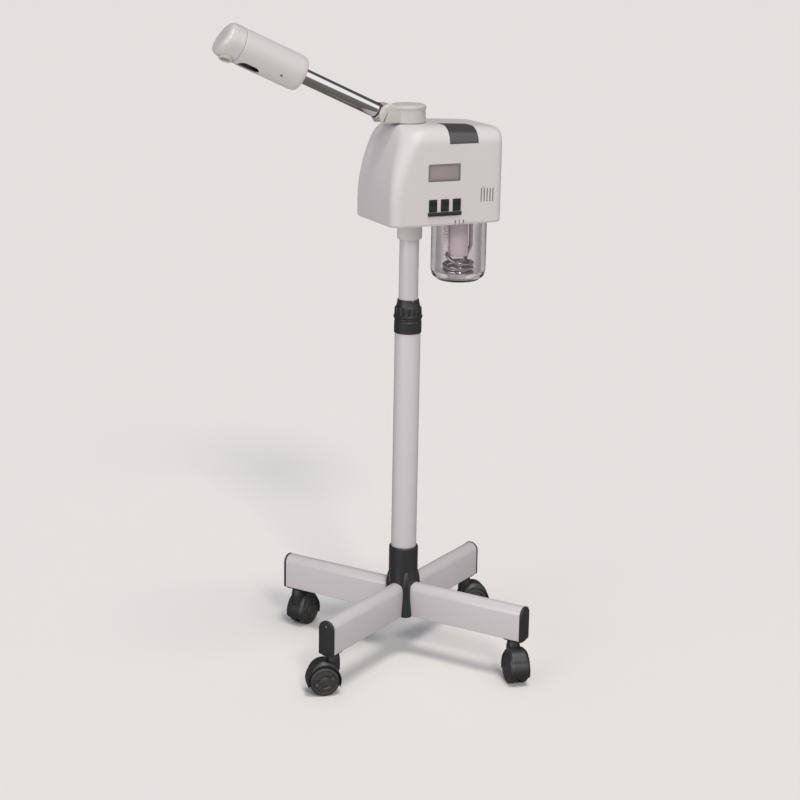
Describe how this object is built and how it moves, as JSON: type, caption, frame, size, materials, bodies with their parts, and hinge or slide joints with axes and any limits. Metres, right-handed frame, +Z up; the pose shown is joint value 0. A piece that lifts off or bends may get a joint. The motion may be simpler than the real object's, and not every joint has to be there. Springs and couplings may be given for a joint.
{
  "type": "facial steamer",
  "caption": "Facial steamer: a steam case with glass jar and tilting chrome spray arm, on a height-adjustable column with a four-legged caster base.",
  "frame": {"origin": "on the floor, under the centre of the whole object's box", "axes": "+Z up along the column, -Y out of the case's front with the switches, +X from the column towards the jar"},
  "size_m": [0.503, 0.3967, 0.9572],
  "materials": {
    "white_plastic": "moulded off-white plastic, fine satin grain",
    "white_paint": "white powder coat",
    "black_plastic": "moulded black plastic, fine grain",
    "caster_tyre": "hard black tread",
    "chrome": "polished chrome plate",
    "steel": "bright steel",
    "smoked_plastic": "dark smoked plastic",
    "jar_glass": "smoke-grey glass",
    "lcd": "grey display behind a clear window",
    "circuit_board": "green circuit board",
    "silicone": "translucent silicone"
  },
  "bodies": {
    "base": {"hub": "black_plastic", "hub_bolt": "steel", "lower_tube": "white_paint", "guide_bush": "black_plastic", "clamp_body": "black_plastic", "leg_1": "white_paint", "leg_2": "white_paint", "leg_3": "white_paint", "leg_4": "white_paint", "leg_cap_1": "black_plastic", "leg_cap_2": "black_plastic", "leg_cap_3": "black_plastic", "leg_cap_4": "black_plastic"},
    "clamp_nut": {"clamp_nut": "black_plastic"},
    "caster_1": {"caster_hood_1": "black_plastic", "caster_stem_1": "steel", "caster_axle_1": "steel"},
    "wheel_1a": {"wheel_1a": "caster_tyre"},
    "wheel_1b": {"wheel_1b": "caster_tyre"},
    "caster_2": {"caster_hood_2": "black_plastic", "caster_stem_2": "steel", "caster_axle_2": "steel"},
    "wheel_2a": {"wheel_2a": "caster_tyre"},
    "wheel_2b": {"wheel_2b": "caster_tyre"},
    "caster_3": {"caster_hood_3": "black_plastic", "caster_stem_3": "steel", "caster_axle_3": "steel"},
    "wheel_3a": {"wheel_3a": "caster_tyre"},
    "wheel_3b": {"wheel_3b": "caster_tyre"},
    "caster_4": {"caster_hood_4": "black_plastic", "caster_stem_4": "steel", "caster_axle_4": "steel"},
    "wheel_4a": {"wheel_4a": "caster_tyre"},
    "wheel_4b": {"wheel_4b": "caster_tyre"},
    "column": {"upper_tube": "white_paint"},
    "case": {"column_socket": "white_plastic", "case_cover": "white_plastic", "rear_panel": "white_plastic", "bottom_plate": "white_plastic", "display_window": "lcd", "control_board": "circuit_board", "switch_strip": "black_plastic", "cold_tank": "white_plastic", "boiler_head": "steel", "heating_coil": "steel", "jar_seal": "silicone", "steam_pipe": "silicone", "power_inlet": "black_plastic"},
    "tank_lid": {"tank_lid": "smoked_plastic"},
    "switch_1": {"switch_1": "black_plastic"},
    "switch_2": {"switch_2": "black_plastic"},
    "switch_3": {"switch_3": "black_plastic"},
    "jar": {"jar": "jar_glass"},
    "turret": {"turret": "white_plastic"},
    "arm": {"arm_ball": "white_plastic", "arm_tube": "chrome"},
    "head": {"head_shell": "white_plastic", "head_cap": "white_plastic", "nozzle_ring": "silicone", "uv_lamp": "jar_glass"}
  },
  "joints": [
    {"name": "clamp_turn", "type": "hinge", "parent": "base", "child": "clamp_nut", "pos_m": [0.0483, 0.003, 0.539], "axis": [0, 0, 1], "range_deg": [0, 120]},
    {"name": "caster_1_swivel", "type": "hinge", "parent": "base", "child": "caster_1", "pos_m": [0.21016, 0.10812, 0.06], "axis": [0, 0, 1], "continuous": true},
    {"name": "wheel_1a_roll", "type": "hinge", "parent": "caster_1", "child": "wheel_1a", "pos_m": [0.22395, 0.10568, 0.02216], "axis": [0.1736, 0.9848, 0], "continuous": true},
    {"name": "wheel_1b_roll", "type": "hinge", "parent": "caster_1", "child": "wheel_1b", "pos_m": [0.22395, 0.10568, 0.02216], "axis": [0.1736, 0.9848, 0], "continuous": true},
    {"name": "caster_2_swivel", "type": "hinge", "parent": "base", "child": "caster_2", "pos_m": [-0.05681, 0.16486, 0.06], "axis": [0, 0, 1], "continuous": true},
    {"name": "wheel_2a_roll", "type": "hinge", "parent": "caster_2", "child": "wheel_2a", "pos_m": [-0.04457, 0.17165, 0.02216], "axis": [-0.4848, 0.8746, 0], "continuous": true},
    {"name": "wheel_2b_roll", "type": "hinge", "parent": "caster_2", "child": "wheel_2b", "pos_m": [-0.04457, 0.17165, 0.02216], "axis": [-0.4848, 0.8746, 0], "continuous": true},
    {"name": "caster_3_swivel", "type": "hinge", "parent": "base", "child": "caster_3", "pos_m": [-0.11356, -0.10211, 0.06], "axis": [0, 0, 1], "continuous": true},
    {"name": "wheel_3a_roll", "type": "hinge", "parent": "caster_3", "child": "wheel_3a", "pos_m": [-0.12721, -0.09897, 0.02216], "axis": [-0.225, -0.9744, 0], "continuous": true},
    {"name": "wheel_3b_roll", "type": "hinge", "parent": "caster_3", "child": "wheel_3b", "pos_m": [-0.12721, -0.09897, 0.02216], "axis": [-0.225, -0.9744, 0], "continuous": true},
    {"name": "caster_4_swivel", "type": "hinge", "parent": "base", "child": "caster_4", "pos_m": [0.15341, -0.15886, 0.06], "axis": [0, 0, 1], "continuous": true},
    {"name": "wheel_4a_roll", "type": "hinge", "parent": "caster_4", "child": "wheel_4a", "pos_m": [0.15098, -0.17265, 0.02216], "axis": [0.9848, -0.1736, 0], "continuous": true},
    {"name": "wheel_4b_roll", "type": "hinge", "parent": "caster_4", "child": "wheel_4b", "pos_m": [0.15098, -0.17265, 0.02216], "axis": [0.9848, -0.1736, 0], "continuous": true},
    {"name": "height_slide", "type": "slide", "parent": "base", "child": "column", "axis": [0, 0, 1], "range_m": [-0.08, 0.22]},
    {"name": "case_swivel", "type": "hinge", "parent": "column", "child": "case", "pos_m": [0.0483, 0.003, 0.66], "axis": [0, 0, 1], "range_deg": [-170, 170]},
    {"name": "lid_hinge", "type": "hinge", "parent": "case", "child": "tank_lid", "pos_m": [0.1023, -0.0154, 0.8099], "axis": [-0.9988, 0, 0.0499], "range_deg": [0, 100]},
    {"name": "switch_1_rock", "type": "hinge", "parent": "case", "child": "switch_1", "pos_m": [0.0543, -0.0575, 0.6994], "axis": [1, 0, 0], "range_deg": [-14, 0]},
    {"name": "switch_2_rock", "type": "hinge", "parent": "case", "child": "switch_2", "pos_m": [0.0732, -0.0575, 0.6994], "axis": [1, 0, 0], "range_deg": [-14, 0]},
    {"name": "switch_3_rock", "type": "hinge", "parent": "case", "child": "switch_3", "pos_m": [0.0921, -0.0575, 0.6994], "axis": [1, 0, 0], "range_deg": [-14, 0]},
    {"name": "jar_drop", "type": "slide", "parent": "case", "child": "jar", "axis": [0, 0, -1], "range_m": [0, 0.14]},
    {"name": "turret_swivel", "type": "hinge", "parent": "case", "child": "turret", "pos_m": [0.0423, 0.003, 0.815], "axis": [0, 0, 1], "range_deg": [-120, 120]},
    {"name": "arm_tilt", "type": "hinge", "parent": "turret", "child": "arm", "pos_m": [0.0073, 0.003, 0.8236], "axis": [0, 1, 0], "range_deg": [-20, 45]},
    {"name": "head_roll", "type": "hinge", "parent": "arm", "child": "head", "pos_m": [-0.12919, 0.003, 0.8858], "axis": [-0.91, 0, 0.4147], "range_deg": [-150, 150]}
  ]
}
